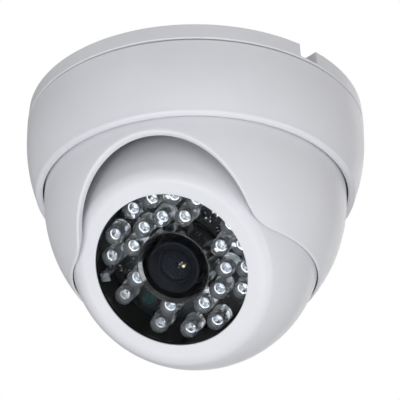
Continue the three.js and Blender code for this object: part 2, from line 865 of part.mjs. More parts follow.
function boardSocketCorners() {
  const [length, width, height] = socketSize;
  const x = -holderBase / 2 - boardSocketGap;
  return [
    [x - length, boardSocketY - width / 2, onSensorBoard],
    [x, boardSocketY + width / 2, onSensorBoard + height],
  ];
}

function outputSocketCorners() {
  const [length, width, height] = outputSocketSize;
  const [x, y] = outputSocketPlace;
  const top = sensorBoardBack - restGap;
  return [
    [x - length / 2, y - width / 2, top - height],
    [x + length / 2, y + width / 2, top],
  ];
}

// The short lead between the two sockets, held at both ends.
function lampLead() {
  const [lampLow, lampHigh] = lampSocketCorners();
  const [boardLow, boardHigh] = boardSocketCorners();
  const startZ = lampLow[2] + socketSize[2] / 2;
  const endZ = onSensorBoard + socketSize[2] / 2;
  const startY = (lampLow[1] + lampHigh[1]) / 2;
  const endY = (boardLow[1] + boardHigh[1]) / 2;
  const out = Math.min(lampLow[0], boardLow[0]) - leadBow;
  const path = new THREE.CatmullRomCurve3([
    new THREE.Vector3(lampLow[0] - restGap, startY, startZ),
    new THREE.Vector3(lampLow[0] - leadStub, startY, startZ),
    new THREE.Vector3(out, (startY + endY) / 2, (startZ + endZ) / 2),
    new THREE.Vector3(boardLow[0] - leadStub, endY, endZ),
    new THREE.Vector3(boardLow[0] - restGap, endY, endZ),
  ]);
  const section = new THREE.Shape().absarc(0, 0, leadRadius, 0, 2 * Math.PI, false);
  return solid(new THREE.ExtrudeGeometry(section, {
    steps: leadSteps, extrudePath: path, curveSegments: 4, bevelEnabled: false,
  }));
}

// ---- assembly ---------------------------------------------------------------------

function geometryOf(manifold) {
  const mesh = manifold.getMesh();
  const geometry = new THREE.BufferGeometry();
  geometry.setAttribute('position', new THREE.BufferAttribute(new Float32Array(mesh.vertProperties), 3));
  geometry.setIndex(new THREE.BufferAttribute(new Uint32Array(mesh.triVerts), 1));
  geometry.computeVertexNormals();
  return geometry;
}

function place(group, name, manifold, material) {
  const mesh = new THREE.Mesh(geometryOf(manifold), material);
  mesh.name = name;
  group.add(mesh);
}

const camera = new THREE.Group();
camera.name = 'dome_camera';

place(camera, 'base_plate', basePlate(), whitePlastic);
place(camera, 'cable_grommet', cableGrommet(), greyRubber);
place(camera, 'cover_ring', coverRing(), whitePlastic);
place(camera, 'dome_shell', domeShell(), whitePlastic);
place(camera, 'retainer_ring', retainerRing(), acetal);
retainerScrews().forEach(([x, y], i) => {
  const top = -retainerDepth + retainerThickness + restGap;
  const down = screw(0, 0, 0, retainerThickness + screwBite).rotate([180, 0, 0]);
  place(camera, `retainer_screw_${i + 1}`, down.translate([x, y, top]), steel);
});
place(camera, 'friction_ring', frictionRing(), blackRubber);

const turn = new THREE.Group();
turn.position.z = ballZ;
turn.rotation.z = toRadians(lookAzimuth);
camera.add(turn);

const ball = new THREE.Group();
ball.rotation.x = toRadians(90 - lookElevation);
turn.add(ball);

place(ball, 'swivel_bush', swivelBush(), acetal);
place(ball, 'ball_front', ballFront(), whitePlastic);
place(ball, 'ball_rear', ballRear(), whitePlastic);
shellScrewAngles.forEach((angle, i) => {
  const [x, y] = onCircle(shellScrewCircle, angle);
  const under = splitForward - 2 * restGap - wellSeat;
  place(ball, `shell_screw_${i + 1}`, screw(x, y, under, screwBite + wellSeat), steel);
});
place(ball, 'window', windowDisc(), clearWindow);
place(ball, 'window_gasket', windowGasket(), blackRubber);
place(ball, 'lamp_carrier', lampCarrier(), blackPlastic);
carrierEarAngles.forEach((angle, i) => {
  const [x, y] = onCircle(carrierScrewCircle, angle);
  place(ball, `carrier_screw_${i + 1}`, screw(x, y, carrierBack - restGap, screwBite + carrierWall), steel);
});
place(ball, 'lamp_board', lampBoard(), blackMask);
lampPlaces().forEach((spot, i) => {
  place(ball, `lamp_${String(i + 1).padStart(2, '0')}`, lamp(spot), clearEpoxy);
});
place(ball, 'photocell', photocell(), ceramic);
place(ball, 'lens_sleeve', lensSleeve(), blackRubber);
place(ball, 'lens_holder', lensHolder(), blackPlastic);
place(ball, 'lens_barrel', lensBarrel(), anodised);
place(ball, 'lens_glass', lensGlass(), lensCoating);
place(ball, 'sensor_board', sensorBoard(), greenMask);
place(ball, 'image_sensor', imageSensor(), silicon);
place(ball, 'processor', processorChip(), silicon);
place(ball, 'lamp_socket', block(...lampSocketCorners()), socketPlastic);
place(ball, 'board_socket', block(...boardSocketCorners()), socketPlastic);
place(ball, 'output_socket', block(...outputSocketCorners()), socketPlastic);
place(ball, 'lamp_lead', lampLead(), blackRubber);
boardScrewPlaces().forEach(([x, y], i) => {
  place(ball, `board_screw_${i + 1}`, screw(x, y, sensorBoardBack - restGap, screwBite), steel);
});

export default camera;
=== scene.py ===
# %% [markdown]
# # A ceiling camera that is aimed by hand
# The object is a white dome camera: a base, a cover ring, a shell with an arched opening,
# and a ball behind it that holds the lens and its ring of infrared lamps. Its sizes, its
# joints and its bodies come from a fixed frame, which is loaded first and never moved.
# What this lesson adds is the surface: smooth mouldings in place of the frame's faceted
# ones, clear lamps, a coated lens, and a finish for each material.

import json
import math
import random

import bmesh
import bpy
from mathutils import Matrix, Vector


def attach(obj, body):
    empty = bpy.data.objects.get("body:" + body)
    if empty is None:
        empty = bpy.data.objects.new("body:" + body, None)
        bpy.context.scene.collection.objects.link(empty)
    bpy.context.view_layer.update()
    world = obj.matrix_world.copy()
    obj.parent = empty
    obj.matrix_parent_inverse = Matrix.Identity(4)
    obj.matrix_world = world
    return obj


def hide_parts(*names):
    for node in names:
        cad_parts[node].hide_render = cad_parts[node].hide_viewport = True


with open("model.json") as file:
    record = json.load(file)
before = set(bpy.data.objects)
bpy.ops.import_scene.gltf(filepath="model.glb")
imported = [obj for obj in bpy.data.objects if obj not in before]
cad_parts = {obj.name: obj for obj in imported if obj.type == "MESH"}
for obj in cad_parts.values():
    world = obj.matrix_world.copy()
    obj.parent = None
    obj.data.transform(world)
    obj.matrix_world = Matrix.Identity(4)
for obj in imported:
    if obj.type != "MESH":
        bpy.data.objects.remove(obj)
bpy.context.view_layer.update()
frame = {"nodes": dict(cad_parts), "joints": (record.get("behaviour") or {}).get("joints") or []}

# %% [markdown]
# ## Where things are
# A moulding is easiest to draw about its own axis, in millimetres. The outer parts turn
# about the vertical through the origin. Everything in the ball turns about the line of
# sight, so the ball gets a space of its own: its centre and its axes are those of the
# joints that aim it. A piece is drawn in millimetres and put in place once, at the end.

# %% Millimetres, and the ball's own space
MM = 0.001
UPRIGHT = Matrix.Identity(4)


def joint(name):
    return next(j for j in frame["joints"] if j["name"] == name)


sight = Vector(joint("ball_roll")["axis"]).normalized()
across = Vector(joint("ball_tilt")["axis"]).normalized()
turned_axes = Matrix((across, sight.cross(across), sight)).transposed().to_4x4()
ball_centre = Vector(joint("ball_roll")["pos_m"])
BALL = Matrix.Translation(ball_centre / MM) @ turned_axes
print("line of sight:", [round(x, 3) for x in sight])


# %% Read a node's extent, in millimetres, in either space
def extent(node, space=UPRIGHT):
    back = space.inverted()
    places = [back @ (v.co / MM) for v in frame["nodes"][node].data.vertices]
    low = Vector([min(p[i] for p in places) for i in range(3)])
    high = Vector([max(p[i] for p in places) for i in range(3)])
    return low, high


ball_radius = extent("ball_rear", BALL)[1].x
front_z = extent("ball_front", BALL)[1].z
print("ball radius", round(ball_radius, 2), "and bezel at", round(front_z, 2), "mm")

# %% [markdown]
# ## Outlines and turning
# Nearly every part here is a turned shape, so the main tool is an outline of radius and
# height that `bmesh.ops.spin` carries round the axis. A moulded edge is never knife
# sharp, and drawing each round by hand would take many points. So a corner is written
# with its fillet radius, and a helper puts the arc there. A sphere is a longer arc.

# %% Arcs and fillets for outlines
def arc(centre_r, centre_z, radius, start, end, steps):
    """Points of an arc between two angles in degrees, as corners without a fillet."""
    points = []
    for i in range(steps + 1):
        angle = math.radians(start + (end - start) * i / steps)
        points.append((centre_r + radius * math.cos(angle), centre_z + radius * math.sin(angle), 0))
    return points


def outline(corners, steps=5):
    """Replaces each corner (radius, height, fillet) that has a fillet by an arc."""
    points = []
    for i, (r, z, fillet) in enumerate(corners):
        here = Vector((r, z, 0))
        if fillet == 0:
            points.append((r, z))
            continue
        back = (Vector((*corners[i - 1][:2], 0)) - here).normalized()
        ahead = (Vector((*corners[(i + 1) % len(corners)][:2], 0)) - here).normalized()
        half = back.angle(ahead) / 2
        centre = here + (back + ahead).normalized() * fillet / math.sin(half)
        start = here + back * fillet / math.tan(half) - centre
        end = here + ahead * fillet / math.tan(half) - centre
        for k in range(steps + 1):
            place = centre + fillet * start.slerp(end, k / steps)
            points.append((place.x, place.y))
    return points


def height_angle(radius, height):
    """Degrees above the equator of a height on a sphere."""
    return math.degrees(math.asin(height / radius))


# %% Turn an outline into a closed solid
def spun(points, steps=192):
    """Spins an outline about Z. One that starts and ends on the axis needs no edge along it."""
    bm = bmesh.new()
    verts = [bm.verts.new((r, 0, z)) for r, z in points]
    edges = [bm.edges.new(pair) for pair in zip(verts, verts[1:])]
    if points[0][0] > 0:
        edges.append(bm.edges.new((verts[-1], verts[0])))
    bmesh.ops.spin(
        bm, geom=verts + edges, cent=(0, 0, 0), axis=(0, 0, 1),
        angle=2 * math.pi, steps=steps, use_merge=True,
    )
    bmesh.ops.remove_doubles(bm, verts=bm.verts, dist=1e-4)
    bmesh.ops.recalc_face_normals(bm, faces=bm.faces)
    return bm


def moved(bm, x, y, z=0, turn=0):
    """Turns a shape about Z by degrees and then shifts it."""
    place = Matrix.Translation((x, y, z)) @ Matrix.Rotation(math.radians(turn), 4, "Z")
    bmesh.ops.transform(bm, matrix=place, verts=bm.verts)
    return bm


def blank(low, high, edge=0.0):
    """A block between two corners, its edges rounded where the real one's are."""
    bm = bmesh.new()
    bmesh.ops.create_cube(bm, size=1)
    size = [b - a for a, b in zip(low, high)]
    bmesh.ops.scale(bm, vec=size, verts=bm.verts)
    bmesh.ops.translate(bm, vec=[(a + b) / 2 for a, b in zip(low, high)], verts=bm.verts)
    if edge:
        bmesh.ops.bevel(
            bm, geom=bm.edges[:], offset=edge, segments=2, profile=0.5,
            affect="EDGES", material=-1,
        )
    return bm


def gathered(shapes):
    """Joins several shapes into one mesh and frees them."""
    whole = bmesh.new()
    for shape in shapes:
        loose = bpy.data.meshes.new("loose")
        shape.to_mesh(loose)
        shape.free()
        whole.from_mesh(loose)
        bpy.data.meshes.remove(loose)
    return whole


# %% Finish a piece: place it, smooth it, give it its finish and its body
def finished(name, bm, material, body, stands_for=(), space=UPRIGHT, sharp=32):
    bmesh.ops.transform(bm, matrix=Matrix.Scale(MM, 4) @ space, verts=bm.verts)
    mesh = bpy.data.meshes.new(name)
    bm.to_mesh(mesh)
    bm.free()
    mesh.shade_smooth()
    mesh.set_sharp_from_angle(angle=math.radians(sharp))
    mesh.materials.append(material)
    piece = bpy.data.objects.new(name, mesh)
    bpy.context.scene.collection.objects.link(piece)
    flats = piece.modifiers.new("flats", "WEIGHTED_NORMAL")
    flats.keep_sharp = True
    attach(piece, body)
    if stands_for:
        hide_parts(*stands_for)
    print(f"{name}: {len(mesh.polygons)} faces")
    return piece


# %% Cut one shape out of another
def cut(bm, cutters):
    """Subtracts shapes with an exact Boolean, whose result is read back as a bmesh."""
    scene = bpy.context.scene
    made = []
    for shape in [bm, gathered(cutters)]:
        mesh = bpy.data.meshes.new("blank")
        shape.to_mesh(mesh)
        shape.free()
        made.append(bpy.data.objects.new("blank", mesh))
        scene.collection.objects.link(made[-1])
    boolean = made[0].modifiers.new("cut", "BOOLEAN")
    boolean.operation = "DIFFERENCE"
    boolean.solver = "EXACT"
    boolean.object = made[1]
    ready = made[0].evaluated_get(bpy.context.evaluated_depsgraph_get())
    result = bmesh.new()
    result.from_mesh(ready.to_mesh())
    for blank_object in made:
        bpy.data.objects.remove(blank_object)
    return result


# %% [markdown]
# ## Moulded plastic and the other finishes
# Injection-moulded plastic is close to one colour, but not quite: it clouds a little
# over a few centimetres, its gloss changes where the mould was polished unevenly, and
# a spark-eroded mould leaves a fine grain. So one function makes all the solid
# finishes here from the same three things: a slow noise for colour, another for
# roughness, and a fine one for bump. All of them read Object coordinates, which are
# real metres, so the grain is as fine on a small part as on a large one.

# %% A finish with clouded colour, uneven gloss and a fine grain
def sourced(nodes, links, place=(0, 0, 0), turn=(0, 0, 0)):
    """Object coordinates, shifted so that a place becomes their origin."""
    coordinates = nodes.new("ShaderNodeTexCoord")
    mapping = nodes.new("ShaderNodeMapping")
    mapping.vector_type = "TEXTURE"
    mapping.inputs["Location"].default_value = place
    mapping.inputs["Rotation"].default_value = turn
    links.new(coordinates.outputs["Object"], mapping.inputs["Vector"])
    return mapping.outputs["Vector"]


def noise(nodes, links, vector, scale, detail=3.0):
    texture = nodes.new("ShaderNodeTexNoise")
    texture.inputs["Scale"].default_value = scale
    texture.inputs["Detail"].default_value = detail
    links.new(vector, texture.inputs["Vector"])
    return texture.outputs["Fac"]


def spread(nodes, links, value, low, high):
    """Maps the middle of a noise to a range."""
    ranged = nodes.new("ShaderNodeMapRange")
    ranged.inputs["From Min"].default_value = 0.3
    ranged.inputs["From Max"].default_value = 0.7
    ranged.inputs["To Min"].default_value = low
    ranged.inputs["To Max"].default_value = high
    links.new(value, ranged.inputs["Value"])
    return ranged.outputs["Result"]


def blended(nodes, links, factor, first, second):
    """A colour that goes from the first to the second."""
    mix = nodes.new("ShaderNodeMix")
    mix.data_type = "RGBA"
    for socket, colour in ((mix.inputs[6], first), (mix.inputs[7], second)):
        if isinstance(colour, tuple):
            socket.default_value = (*colour, 1)
        else:
            links.new(colour, socket)
    links.new(factor, mix.inputs[0])
    return mix.outputs[2]


def new_material(name):
    material = bpy.data.materials.new(name)
    material.use_nodes = True
    nodes, links = material.node_tree.nodes, material.node_tree.links
    return material, nodes, links, nodes["Principled BSDF"]


def grain(nodes, links, vector, shader, scale, depth):
    """A fine bump, its depth in metres."""
    bump = nodes.new("ShaderNodeBump")
    bump.inputs["Strength"].default_value = 0.5
    bump.inputs["Distance"].default_value = depth
    links.new(noise(nodes, links, vector, scale, 2), bump.inputs["Height"])
    links.new(bump.outputs["Normal"], shader.inputs["Normal"])


def moulded(name, light, dark, gloss, shine=0.5, grain_scale=2600, grain_depth=2e-5, metallic=0.0):
    """A solid finish. light and dark are its colours, gloss its lowest and highest roughness,
    and shine how strongly it mirrors head on: 0.5 is a common plastic."""
    material, nodes, links, shader = new_material(name)
    vector = sourced(nodes, links)
    cloud = spread(nodes, links, noise(nodes, links, vector, 45), 0, 1)
    links.new(blended(nodes, links, cloud, dark, light), shader.inputs["Base Color"])
    patches = noise(nodes, links, vector, 160)
    links.new(spread(nodes, links, patches, *gloss), shader.inputs["Roughness"])
    shader.inputs["Metallic"].default_value = metallic
    shader.inputs["Specular IOR Level"].default_value = shine
    grain(nodes, links, vector, shader, grain_scale, grain_depth)
    return material


# %% The solid finishes
white_shell = moulded("white_shell", (0.79, 0.79, 0.82), (0.75, 0.75, 0.785), (0.3, 0.4))
grey_rubber = moulded("grey_rubber", (0.16, 0.165, 0.17), (0.12, 0.12, 0.13), (0.65, 0.8))
black_rubber = moulded("black_rubber", (0.012, 0.012, 0.013), (0.007, 0.007, 0.008), (0.28, 0.4))
black_plastic = moulded(
    "black_plastic", (0.006, 0.006, 0.005), (0.003, 0.003, 0.003), (0.35, 0.5), 0.12,
)
acetal = moulded("acetal", (0.70, 0.70, 0.66), (0.64, 0.64, 0.60), (0.4, 0.55))
screw_steel = moulded(
    "screw_steel", (0.60, 0.60, 0.61), (0.42, 0.42, 0.44), (0.2, 0.35), metallic=1,
)
socket_plastic = moulded("socket_plastic", (0.72, 0.70, 0.62), (0.65, 0.62, 0.54), (0.45, 0.6))
lead_jacket = moulded("lead_jacket", (0.02, 0.02, 0.02), (0.012, 0.012, 0.012), (0.5, 0.65))
chip_black = moulded("chip_black", (0.02, 0.021, 0.023), (0.012, 0.012, 0.014), (0.25, 0.4))
black_board = moulded("black_board", (0.010, 0.012, 0.014), (0.004, 0.005, 0.007), (0.2, 0.4), 0.3)
lens_black = moulded("lens_black", (0.004, 0.006, 0.011), (0.002, 0.003, 0.006), (0.3, 0.4), 0.12)
photocell_black = moulded(
    "photocell_black", (0.012, 0.016, 0.018), (0.006, 0.008, 0.009), (0.3, 0.45), 0.3,
)
print(len(bpy.data.materials), "materials so far")

# %% [markdown]
# ## The base
# The base is the shallow tray that is screwed to the ceiling. From below only its rim
# shows, but from above its whole face does: a shallow groove for a seal, three curved
# slots that let it be turned before the screws bite, a hole for the lead with a rubber
# grommet, and a notch in the rim for a lead that runs along the ceiling. The tray is
# turned, groove and all, and the openings are cut out of it, because a cut through a
# curved rim is what a Boolean does well.

# %% Sizes that the base and the cover share
seam_gap = 0.45
seam_radius = extent("base_plate")[1].x
base_foot = extent("base_plate")[0].z
cover_low, cover_high = extent("cover_ring")
seam_z = cover_high.z
rim_foot = seam_z + seam_gap
plate, rim_wall, skirt_wall = 3.0, 2.1, 1.8
wall_inner = seam_radius - rim_wall
skirt_radius = wall_inner - skirt_wall
print("seam at", round(seam_z, 2), "mm, radius", round(seam_radius, 2))

# %% Turn the tray
groove_inner, groove_outer, groove_depth = 38.8, 40.6, 0.5
tray = spun(outline([
    (0, 0, 0),
    (groove_inner, 0, 0.15), (groove_inner, -groove_depth, 0.15),
    (groove_outer, -groove_depth, 0.15), (groove_outer, 0, 0.15),
    (seam_radius - 0.4, 0, 0.35),
    (seam_radius, rim_foot, 0.4),
    (wall_inner, rim_foot, 0.2),
    (wall_inner, -plate, 0.4),
    (skirt_radius, -plate, 0.4),
    (skirt_radius, base_foot, 0.3),
    (skirt_radius - skirt_wall, base_foot, 0.3),
    (skirt_radius - skirt_wall, -plate, 0.6),
    (0, -plate, 0),
]))


# %% Shapes of the openings
def curved_slot(radius, width, spread_angle, middle, low, high):
    """A slot bent round a circle: a short bar spun through its angle, with round ends."""
    bm = bmesh.new()
    corners = [(radius - width / 2, low), (radius + width / 2, low),
               (radius + width / 2, high), (radius - width / 2, high)]
    verts = [bm.verts.new((r, 0, z)) for r, z in corners]
    face = bm.faces.new(verts)
    bmesh.ops.rotate(
        bm, cent=(0, 0, 0), verts=verts,
        matrix=Matrix.Rotation(math.radians(middle - spread_angle / 2), 3, "Z"),
    )
    bmesh.ops.spin(
        bm, geom=verts + face.edges[:] + [face], cent=(0, 0, 0), axis=(0, 0, 1),
        angle=math.radians(spread_angle), steps=16,
    )
    bmesh.ops.recalc_face_normals(bm, faces=bm.faces)
    ends = []
    for angle in (middle - spread_angle / 2, middle + spread_angle / 2):
        turn = math.radians(angle)
        end = spun([(0, low), (width / 2, low), (width / 2, high), (0, high)], 32)
        ends.append(moved(end, radius * math.cos(turn), radius * math.sin(turn)))
    return [bm, *ends]


# %% Cut the slots, the lead's hole and the notch
slot_circle, slot_width, slot_spread = 34.0, 3.8, 12.0
flange_recess, flange_overlap, flange_room = 1.2, 1.6, 0.3
grommet_low, grommet_high = extent("cable_grommet")
hole_x = (grommet_low.x + grommet_high.x) / 2
hole_y = (grommet_low.y + grommet_high.y) / 2
flange_radius = (grommet_high.x - grommet_low.x) / 2
hole_radius = flange_radius - flange_overlap
for middle in (30, 150, 270):
    for shape in curved_slot(slot_circle, slot_width, slot_spread, middle, -plate - 1, 1):
        tray = cut(tray, [shape])
recess_radius = flange_radius + flange_room
recess = spun([(0, -flange_recess), (recess_radius, -flange_recess), (recess_radius, 1), (0, 1)], 64)
bore = spun([(0, -plate - 1), (hole_radius, -plate - 1), (hole_radius, 1), (0, 1)], 64)
tray = cut(tray, [moved(bore, hole_x, hole_y)])
tray = cut(tray, [moved(recess, hole_x, hole_y)])
notch_width, notch_depth, notch_length, notch_turn = 6.0, 4.2, 10.0, -49.5
notch = blank(
    (seam_radius - notch_length, -notch_width / 2, -notch_depth),
    (seam_radius + 2, notch_width / 2, 2), 0.4,
)
tray = cut(tray, [moved(notch, 0, 0, 0, notch_turn)])
finished("base_moulding", tray, white_shell, "base", ["base_plate"])

# %% The grommet in the lead's hole
lead_bore, lip = 3.6, 0.8
neck = hole_radius - flange_room
grommet = spun(outline([
    (lead_bore, grommet_high.z, 0.3),
    (flange_radius, grommet_high.z, 0.3),
    (flange_radius, grommet_high.z - lip, 0.15),
    (neck, grommet_high.z - lip, 0.1),
    (neck, grommet_low.z + lip, 0.1),
    (flange_radius, grommet_low.z + lip, 0.1),
    (flange_radius - 0.6, grommet_low.z, 0.2),
    (lead_bore, grommet_low.z, 0.3),
]), 64)
finished(
    "cable_seal", moved(grommet, hole_x, hole_y), grey_rubber, "base",
    ["cable_grommet"],
)

# %% [markdown]
# ## The cover ring
# The cover hides the screws and carries the dome. Its side is not straight: below a
# short plain band under the seam it curves slowly inwards, and it ends in a rounded
# bead. The bead starts in the direction in which that curve ends, so the side flows
# into it and the light catches it as one thin bright line. The bore inside the bead
# clears the dome by half a millimetre, so the dome's round is stated first. Its centre
# lies above the ball's, so the two come close only at the dome's rim.

# %% The dome's round, which the cover has to clear
dome_low, dome_high = extent("dome_shell")
ball_z = (ball_centre / MM).z
rim_z = dome_low.z
dome_radius, dome_rise, seat_room = 41.608, 13.3, 0.35
dome_z = ball_z + dome_rise
socket_radius = ball_radius + seat_room
print("dome radius", round(dome_radius, 2), "about a centre at", round(dome_z, 2), "mm")

# %% Turn the cover
bulge_radius, straight_band, bead_radius = 46.0, 4.0, 1.5
bulge_top = seam_z - straight_band
bead_z = cover_low.z + bead_radius
bulge_end = -height_angle(bulge_radius, bulge_top - bead_z)
bulge = arc(seam_radius - bulge_radius, bulge_top, bulge_radius, 0, bulge_end, 20)
bead_r = bulge[-1][0] - bead_radius
cover_gap, dome_flange, ledge_room = 0.5, 2, 0.3
cover_bore = dome_radius + cover_gap
ledge_z = dome_high.z - dome_flange - ledge_room
bead_end = -180 + math.degrees(math.acos((bead_r - cover_bore) / bead_radius))
bead = arc(bead_r, bead_z, bead_radius, bulge_end, bead_end, 14)
cover = spun(outline([
    (wall_inner, seam_z, 0.2),
    (seam_radius, seam_z, 0.35),
    *bulge,
    *bead[1:],
    (cover_bore, ledge_z, 0.3),
    (wall_inner, ledge_z, 0.3),
]))
finished("cover_moulding", cover, white_shell, "cover", ["cover_ring"])

# %% [markdown]
# ## The dome and its arched opening
# The dome is a thin ball-shaped shell with an arch cut out of its front, whose feet
# flare out into its lower rim. A Boolean would leave long thin faces along the arch,
# and its broad rounded lip could not be bevelled cleanly. Instead the shell is spun as
# a plain ring first, and each of its upright columns is then slid up to the arch. The
# lip is part of the column, so it stays the same clean strip of faces all the way
# round.

# %% The dome's walls and the arch, by height
dome_wall = 2.1
slot_turn = math.radians(-18.7 - 90)
arch_radius, arch_rise, arch_flare = 24.3, 22.0, 4.5
crown_z = rim_z + arch_rise
arch_z = crown_z - arch_radius
flare_z = rim_z + arch_flare
flare_x = math.sqrt((arch_radius + arch_flare) ** 2 - (flare_z - arch_z) ** 2)
meeting_z = arch_z + (flare_z - arch_z) * arch_radius / (arch_radius + arch_flare)


def outer_wall(z):
    return math.sqrt(dome_radius**2 - min(z - dome_z, 0) ** 2)


def inner_wall(z):
    """The shell's inner face, and near the rim the seat that carries the ball."""
    plain = (dome_radius - dome_wall) ** 2 - min(z - dome_z, 0) ** 2
    seat = socket_radius**2 - (z - ball_z) ** 2
    return math.sqrt(max(plain, seat if z < ball_z else 0))


def arch_half_width(z):
    if z > meeting_z:
        return math.sqrt(max(arch_radius**2 - (z - arch_z) ** 2, 0))
    return flare_x - math.sqrt(max(arch_flare**2 - (z - flare_z) ** 2, 0))


def arch_edge(turn, wall):
    """Height of the arch's edge on a wall, in the upright plane at this turn."""
    reach = abs(math.sin(turn))
    if math.cos(turn) <= 0 or wall(rim_z) * reach >= arch_half_width(rim_z):
        return rim_z
    low, high = rim_z, crown_z
    for _ in range(40):
        middle = (low + high) / 2
        if wall(middle) * reach < arch_half_width(middle):
            low = middle
        else:
            high = middle
    return low


print("arch crown at", round(crown_z, 1), "and rim at", round(rim_z, 1), "mm")

# %% One upright column of the shell
lip_round = 1.35
outer_rows, inner_rows, lip_rows = 22, 10, 6


def corner_curve(start, corner, end, steps):
    """A soft corner between two points, pulled towards the sharp one."""
    return [
        start.lerp(corner, k / steps).lerp(corner.lerp(end, k / steps), k / steps)
        for k in range(steps + 1)
    ]


def column(turn):
    """Radius and height of the shell's section, from the flange down, in and back up."""
    outside, inside = arch_edge(turn, outer_wall), arch_edge(turn, inner_wall)
    outer_corner = Vector((outer_wall(outside), outside))
    inner_corner = Vector((inner_wall(inside), inside))
    edge = inner_corner - outer_corner
    soft = min(lip_round, edge.length * 0.6)
    fine = min(0.3, edge.length * 0.3)
    neck = dome_high.z - dome_flange
    points = [Vector((dome_high.x, dome_high.z)), Vector((dome_high.x, neck))]
    for k in range(outer_rows):
        z = neck + (outside + soft - neck) * k / outer_rows
        points.append(Vector((outer_wall(z), z)))
    start = Vector((outer_wall(outside + soft), outside + soft))
    points += corner_curve(start, outer_corner, outer_corner + edge.normalized() * soft, lip_rows)
    end = Vector((inner_wall(inside + fine), inside + fine))
    points += corner_curve(inner_corner - edge.normalized() * fine, inner_corner, end, 2)
    for k in range(1, inner_rows + 1):
        z = inside + fine + (dome_high.z - inside - fine) * k / inner_rows
        points.append(Vector((inner_wall(z), z)))
    return points


# %% Spin the plain ring and slide its columns to the arch
ring_steps = 360
dome = bmesh.new()
row = dome.verts.layers.int.new("row")
section = [dome.verts.new((p.x, 0, p.y)) for p in column(math.pi)]
for i, vert in enumerate(section):
    vert[row] = i
loop = [dome.edges.new(pair) for pair in zip(section, section[1:] + section[:1])]
bmesh.ops.spin(
    dome, geom=section + loop, cent=(0, 0, 0), axis=(0, 0, 1),
    angle=2 * math.pi, steps=ring_steps, use_merge=True,
)
columns = {}
for vert in dome.verts:
    step = round(math.degrees(math.atan2(vert.co.y, vert.co.x)))
    if step not in columns:
        columns[step] = column(math.radians(step))
    place = columns[step][vert[row]]
    angle = math.radians(step) + slot_turn
    vert.co = (place.x * math.cos(angle), place.x * math.sin(angle), place.y)
bmesh.ops.remove_doubles(dome, verts=dome.verts, dist=1e-4)
bmesh.ops.recalc_face_normals(dome, faces=dome.faces)
finished("dome_moulding", dome, white_shell, "dome", ["dome_shell"], sharp=50)

# %% [markdown]
# ## The ball
# The ball is two halves of a thin sphere. Its front is cut flat into a bezel round the
# window, and the edge between the sphere and the flat is a soft crease a few
# millimetres wide, which is what makes the bezel read as one bright disc. The crease is
# a fillet in the outline. The lip over the window is thin and crisp.

# %% Turn the front half
split_z, ball_wall, opening_radius = 2.0, 2.0, 21.2
window_room = 0.3
window_radius = extent("window", BALL)[1].x
window_top = extent("window", BALL)[1].z
window_back = extent("window", BALL)[0].z
crease_radius = math.sqrt(ball_radius**2 - front_z**2)
crease_round = 4.5
seat_z = window_top + window_room
back_z = front_z - ball_wall
inner_radius = ball_radius - ball_wall


def soft_crease():
    """The fillet between the sphere and the flat bezel, as an arc tangent to both."""
    centre_z = front_z - crease_round
    centre_r = math.sqrt((ball_radius - crease_round) ** 2 - centre_z**2)
    start = math.degrees(math.atan2(centre_z, centre_r))
    return start, arc(centre_r, centre_z, crease_round, start, 90, 12)


crease_start, crease = soft_crease()
inner_start, inner_end = (height_angle(inner_radius, z) for z in (back_z, split_z))
front = spun(outline([
    *arc(0, 0, ball_radius, height_angle(ball_radius, split_z), crease_start, 30)[:-1],
    *crease,
    (opening_radius, front_z, 0.2),
    (opening_radius, seat_z, 0.05),
    (window_radius + window_room, seat_z, 0.1),
    (window_radius + window_room, back_z, 0.1),
    *arc(0, 0, inner_radius, inner_start, inner_end, 14),
]))
finished("ball_front_shell", front, white_shell, "ball", ["ball_front"], BALL)

# %% Turn the rear half, with the recess for the swivel bush
halves_gap, bush_recess, recess_depth = 0.3, 8.3, 3
seat_hole, seat_plate, seat_reach, inner_stop = 5.3, 2.4, 11, -65
rear_edge = split_z - halves_gap
recess_floor = -ball_radius + recess_depth
rear = spun(outline([
    *arc(0, 0, ball_radius, -math.degrees(math.acos(bush_recess / ball_radius)),
         height_angle(ball_radius, rear_edge), 40),
    *arc(0, 0, inner_radius, height_angle(inner_radius, rear_edge), inner_stop, 20),
    (seat_reach, recess_floor + seat_plate, 0.5),
    (seat_hole, recess_floor + seat_plate, 0.2),
    (seat_hole, recess_floor, 0.2),
    (bush_recess, recess_floor, 0.3),
]))
finished("ball_rear_shell", rear, white_shell, "ball", ["ball_rear"], BALL)

# %% [markdown]
# ## Clear parts
# The window is a flat disc of clear acrylic, a millimetre thick. A pane that thin bends
# nothing, so it is a mix of Transparent and Glossy by Fresnel: the lamps' light and ours
# pass it, and it still mirrors its surroundings a little. The lamps are different. Their
# round heads are strong lenses, and what makes them look like lamps is that the head
# magnifies the silvered cup inside. So their epoxy is a true refracting material.

# %% The window's acrylic
pane_index = 1.08


